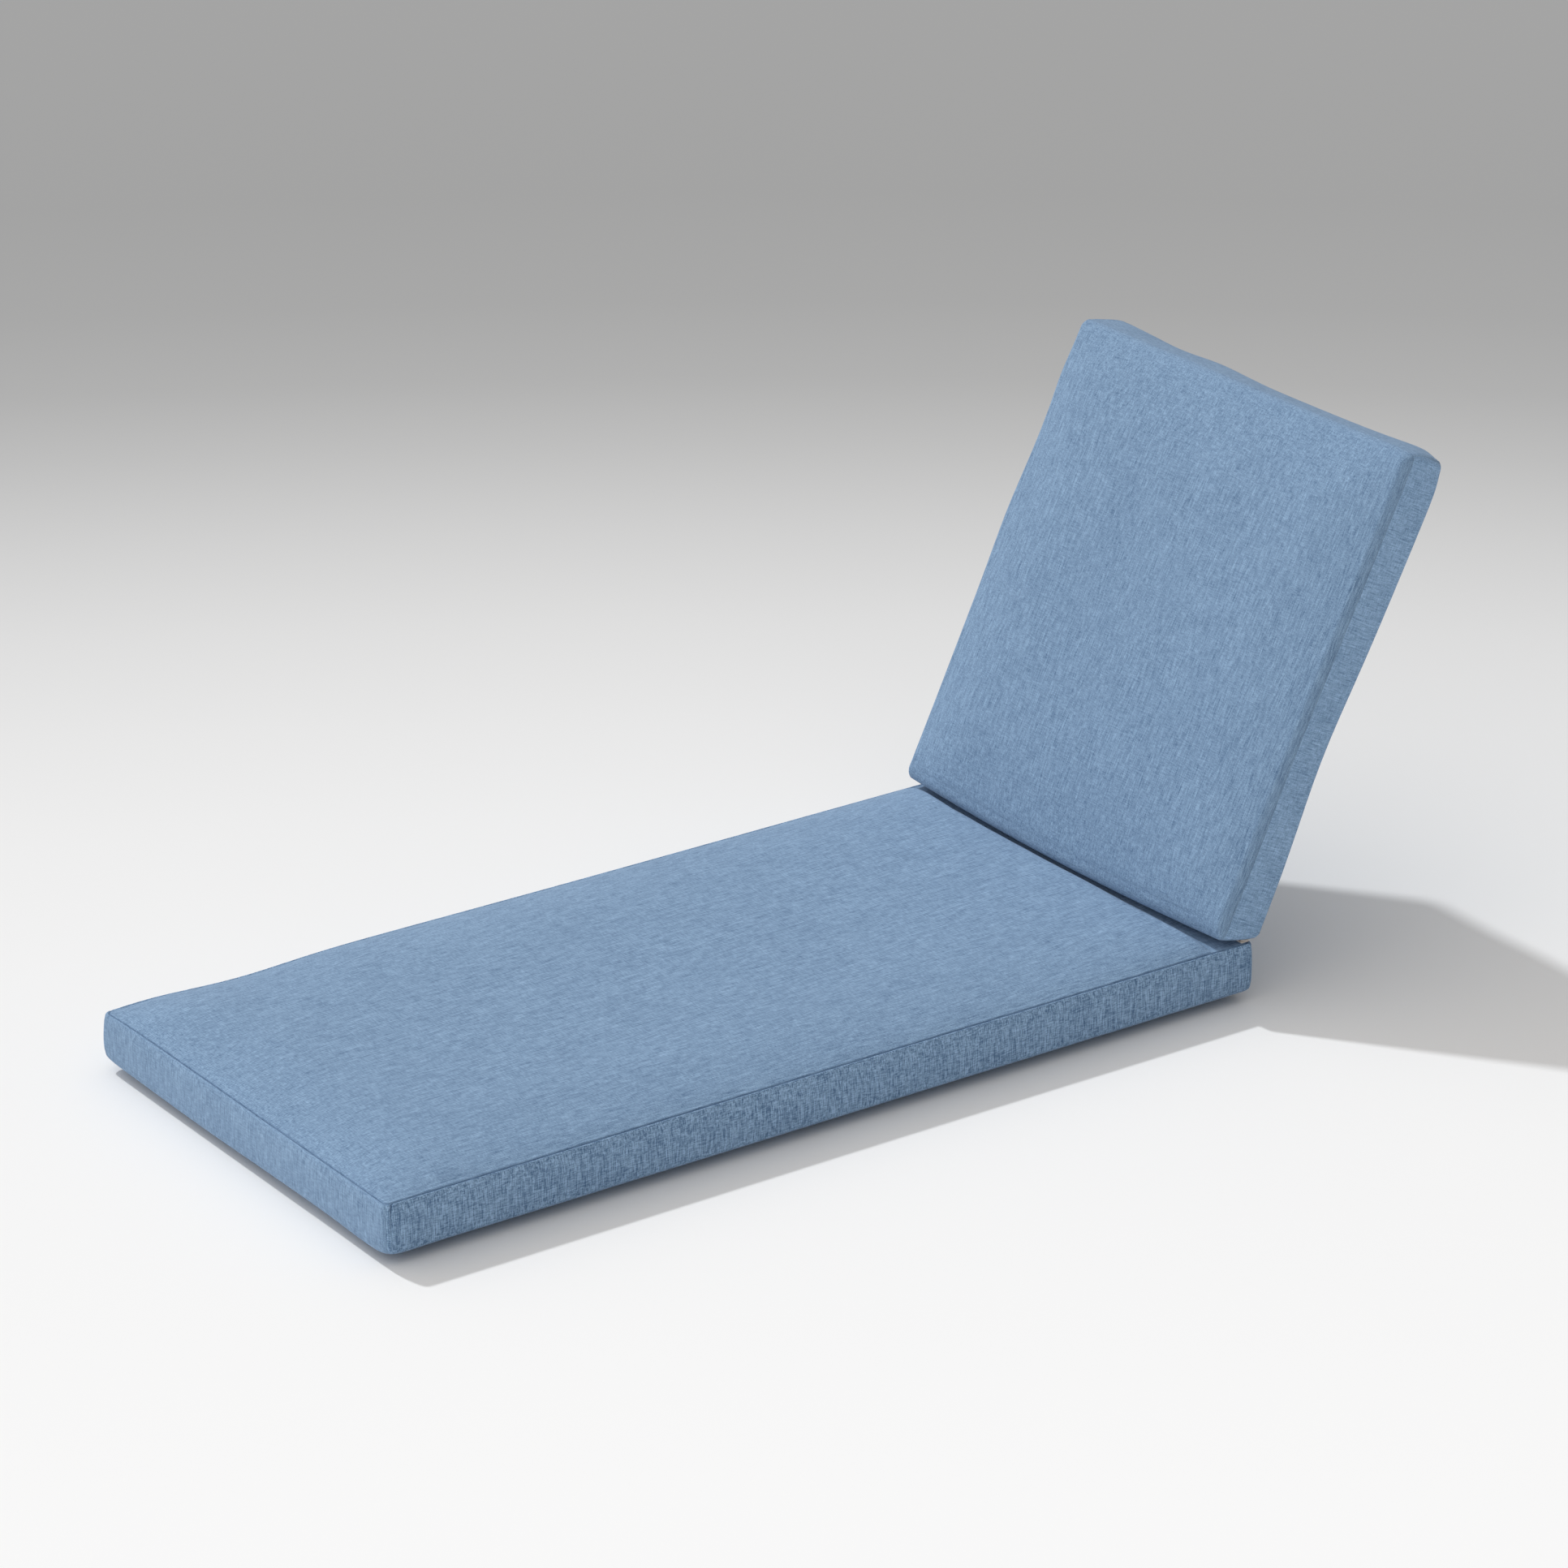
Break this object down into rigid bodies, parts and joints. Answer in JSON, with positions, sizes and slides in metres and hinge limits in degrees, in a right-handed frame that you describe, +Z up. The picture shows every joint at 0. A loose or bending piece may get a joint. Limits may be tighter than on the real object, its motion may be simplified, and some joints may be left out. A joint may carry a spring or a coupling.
{
  "type": "hinged sun lounger cushion",
  "caption": "Blue woven-canvas lounger cushion: a long boxed seat pad lying flat and a shorter boxed back pad standing reclined, hinged by a folded tape.",
  "frame": {"origin": "on the floor, under the middle of the cushion's overall box", "axes": "+Y from the foot end to the back pad, +X to the right of a viewer who faces +Y, +Z up; the seat pad lies flat and the back pad stands reclined at the +Y end"},
  "size_m": [0.6443, 1.5188, 0.6597],
  "materials": {
    "blue_canvas": "matte, finely heathered woven outdoor canvas",
    "pale_tape": "matte woven tape"
  },
  "bodies": {
    "root": {"seat_pad": "blue_canvas", "back_pad": "blue_canvas", "hinge_strip": "pale_tape"}
  },
  "joints": []
}
